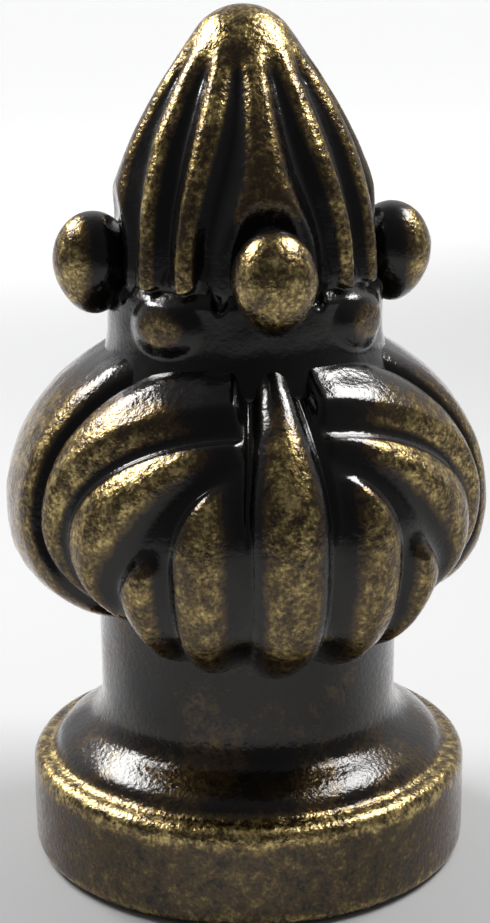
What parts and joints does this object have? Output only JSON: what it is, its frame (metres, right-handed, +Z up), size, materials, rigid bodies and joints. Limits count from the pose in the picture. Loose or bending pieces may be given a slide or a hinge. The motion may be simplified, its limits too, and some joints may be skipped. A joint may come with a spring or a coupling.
{
  "type": "lamp shade finial",
  "caption": "Cast lamp shade finial: a round foot with a tapped hole, a neck, a bulb of sweeping carved ribs and a fluted cone with round beads.",
  "frame": {"origin": "centre of the flat seat under the foot, on the axis of the turned shape", "axes": "+Z up the finial's axis from the seat to the tip; -Y through the middle of the front stem and the front bead; +X to the right as seen from the front"},
  "size_m": [0.0216, 0.0216, 0.0381],
  "materials": {
    "antique_brass": "antique brass: a near-black brown patina in the hollows, rubbed back to mottled gold on the crests, under a smooth glossy lacquer"
  },
  "bodies": {
    "root": {"finial": "antique_brass"}
  },
  "joints": []
}
